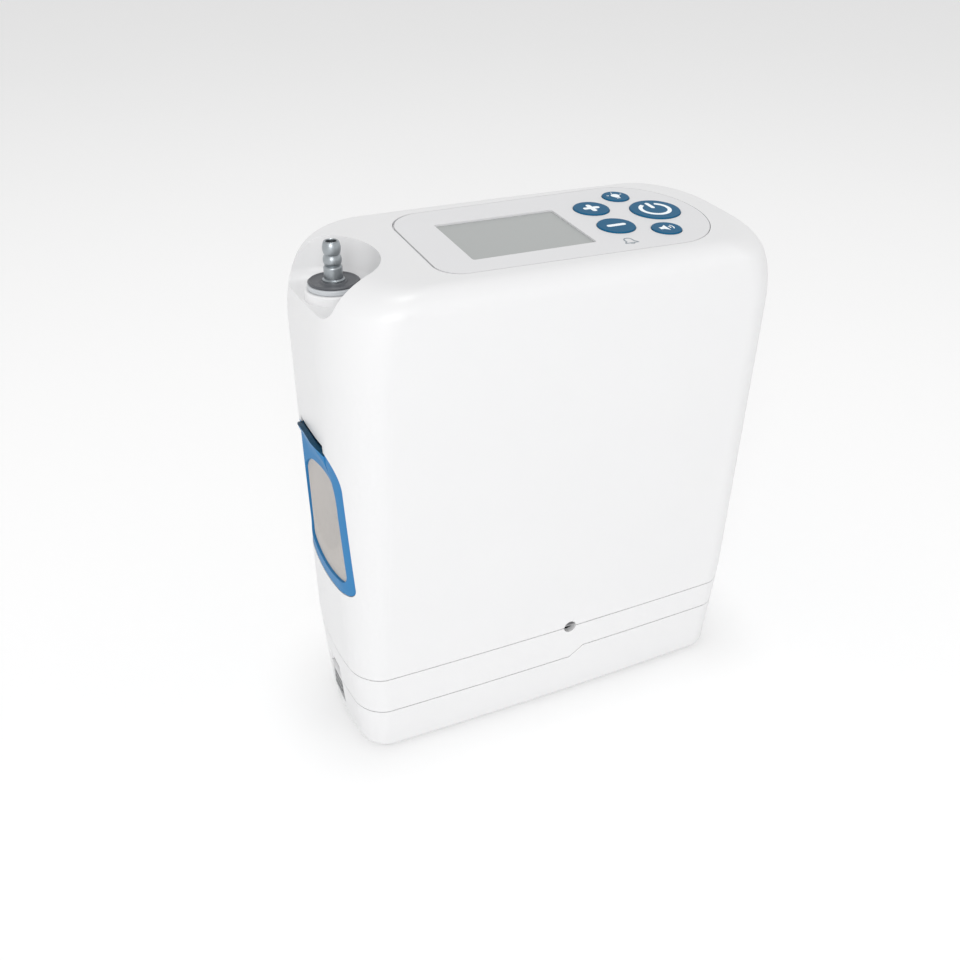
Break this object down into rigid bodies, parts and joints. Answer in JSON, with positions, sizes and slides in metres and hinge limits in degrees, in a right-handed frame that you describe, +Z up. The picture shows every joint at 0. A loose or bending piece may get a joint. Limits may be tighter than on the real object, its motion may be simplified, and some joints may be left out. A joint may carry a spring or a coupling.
{
  "type": "oxygen concentrator",
  "caption": "Portable oxygen concentrator: a rounded white casing with a top control panel, barbed outlet, side intake filters and a slide-off battery base.",
  "frame": {"origin": "centre of the underside of the battery, on the surface the unit stands on", "axes": "+X along the length, from the outlet end to the key end; -Y is the front face with the power inlet; +Z up"},
  "size_m": [0.187, 0.0802, 0.2096],
  "materials": {
    "white_shell": "satin moulded white",
    "panel_grey": "light grey film",
    "screen": "grey display window",
    "lcd": "display module",
    "key_blue": "blue keys",
    "filter_blue": "blue moulded frame",
    "filter_mesh": "woven mesh",
    "nozzle_metal": "satin plated",
    "collar_dark": "dark grey ring",
    "seat_grey": "grey ring",
    "rubber_black": "black rubber",
    "plastic_black": "black plastic",
    "plastic_grey": "grey plastic",
    "latch_grey": "dark grey plastic",
    "board_green": "circuit board",
    "steel": "steel",
    "aluminium": "machined aluminium",
    "brass": "plated contact",
    "cell_wrap": "shrink wrap",
    "bed": "sieve beads",
    "hose": "silicone hose"
  },
  "bodies": {
    "casing": {"main_housing": "white_shell", "base_tray": "white_shell", "housing_gasket": "rubber_black", "housing_screws": "steel", "control_panel": "panel_grey", "display_lens": "screen", "lcd_module": "lcd", "display_board": "board_green", "keypad_domes": "plastic_black", "buzzer": "plastic_black", "cannula_nozzle": "nozzle_metal", "nozzle_collar": "collar_dark", "nozzle_seat": "seat_grey", "nozzle_o_ring": "rubber_black", "nozzle_nut": "steel", "dc_jack": "plastic_black", "dc_jack_pin": "steel", "base_contact_block": "plastic_grey", "contact_blades": "brass", "compressor_crankcase": "aluminium", "compressor_motor": "plastic_black", "cylinder_left": "aluminium", "cylinder_right": "aluminium", "cylinder_head_left": "aluminium", "cylinder_head_right": "aluminium", "compressor_bracket": "plastic_grey", "compressor_mounts": "rubber_black", "fan_frame": "plastic_black", "cooling_coil": "aluminium", "column_base_manifold": "plastic_grey", "column_top_manifold": "plastic_grey", "sieve_column_front": "aluminium", "sieve_column_rear": "aluminium", "sieve_beds": "bed", "solenoid_valves": "plastic_black", "product_tank": "plastic_grey", "main_board": "board_green", "product_hose": "hose", "oxygen_sensor": "plastic_black"},
    "key_plus": {"key_plus": "key_blue"},
    "key_minus": {"key_minus": "key_blue"},
    "key_power": {"key_power": "key_blue"},
    "key_light": {"key_light": "key_blue"},
    "key_sound": {"key_sound": "key_blue"},
    "left_filter": {"left_filter_frame": "filter_blue", "left_filter_mesh": "filter_mesh"},
    "right_filter": {"right_filter_frame": "filter_blue", "right_filter_mesh": "filter_mesh"},
    "battery": {"battery_case": "white_shell", "battery_cover": "plastic_grey", "battery_cells": "cell_wrap", "cell_strips": "brass", "battery_board": "board_green", "battery_contact_block": "plastic_grey"},
    "battery_latch": {"battery_latch": "latch_grey", "latch_spring": "steel"},
    "motor_rotor": {"motor_rotor": "steel"},
    "piston_left": {"piston_left": "aluminium"},
    "piston_right": {"piston_right": "aluminium"},
    "fan_rotor": {"fan_rotor": "plastic_black"}
  },
  "joints": [
    {"name": "key_plus_press", "type": "slide", "parent": "casing", "child": "key_plus", "axis": [0, 0.0732, -0.9973], "range_m": [0, 0.0005], "stiffness_N_per_m": 1500},
    {"name": "key_minus_press", "type": "slide", "parent": "casing", "child": "key_minus", "axis": [0, 0.0732, -0.9973], "range_m": [0, 0.0005], "stiffness_N_per_m": 1500},
    {"name": "key_power_press", "type": "slide", "parent": "casing", "child": "key_power", "axis": [0, 0.0732, -0.9973], "range_m": [0, 0.0005], "stiffness_N_per_m": 1500},
    {"name": "key_light_press", "type": "slide", "parent": "casing", "child": "key_light", "axis": [0, 0.0732, -0.9973], "range_m": [0, 0.0005], "stiffness_N_per_m": 1500},
    {"name": "key_sound_press", "type": "slide", "parent": "casing", "child": "key_sound", "axis": [0, 0.0732, -0.9973], "range_m": [0, 0.0005], "stiffness_N_per_m": 1500},
    {"name": "left_filter_pull", "type": "slide", "parent": "casing", "child": "left_filter", "axis": [-1, 0, 0], "range_m": [0, 0.025]},
    {"name": "right_filter_pull", "type": "slide", "parent": "casing", "child": "right_filter", "axis": [1, 0, 0], "range_m": [0, 0.025]},
    {"name": "battery_slide", "type": "slide", "parent": "casing", "child": "battery", "axis": [1, 0, 0], "range_m": [0, 0.19]},
    {"name": "battery_latch_press", "type": "slide", "parent": "battery", "child": "battery_latch", "axis": [1, 0, 0], "range_m": [0, 0.0015], "stiffness_N_per_m": 800},
    {"name": "motor_spin", "type": "hinge", "parent": "casing", "child": "motor_rotor", "pos_m": [-0.03, 0.01, 0.066], "axis": [0, 1, 0], "continuous": true},
    {"name": "piston_left_stroke", "type": "slide", "parent": "casing", "child": "piston_left", "axis": [1, 0, 0], "range_m": [-0.004, 0.004]},
    {"name": "piston_right_stroke", "type": "slide", "parent": "casing", "child": "piston_right", "axis": [1, 0, 0], "range_m": [-0.004, 0.004]},
    {"name": "fan_spin", "type": "hinge", "parent": "casing", "child": "fan_rotor", "pos_m": [-0.03, 0, 0.103], "axis": [0, 0, 1], "continuous": true}
  ]
}
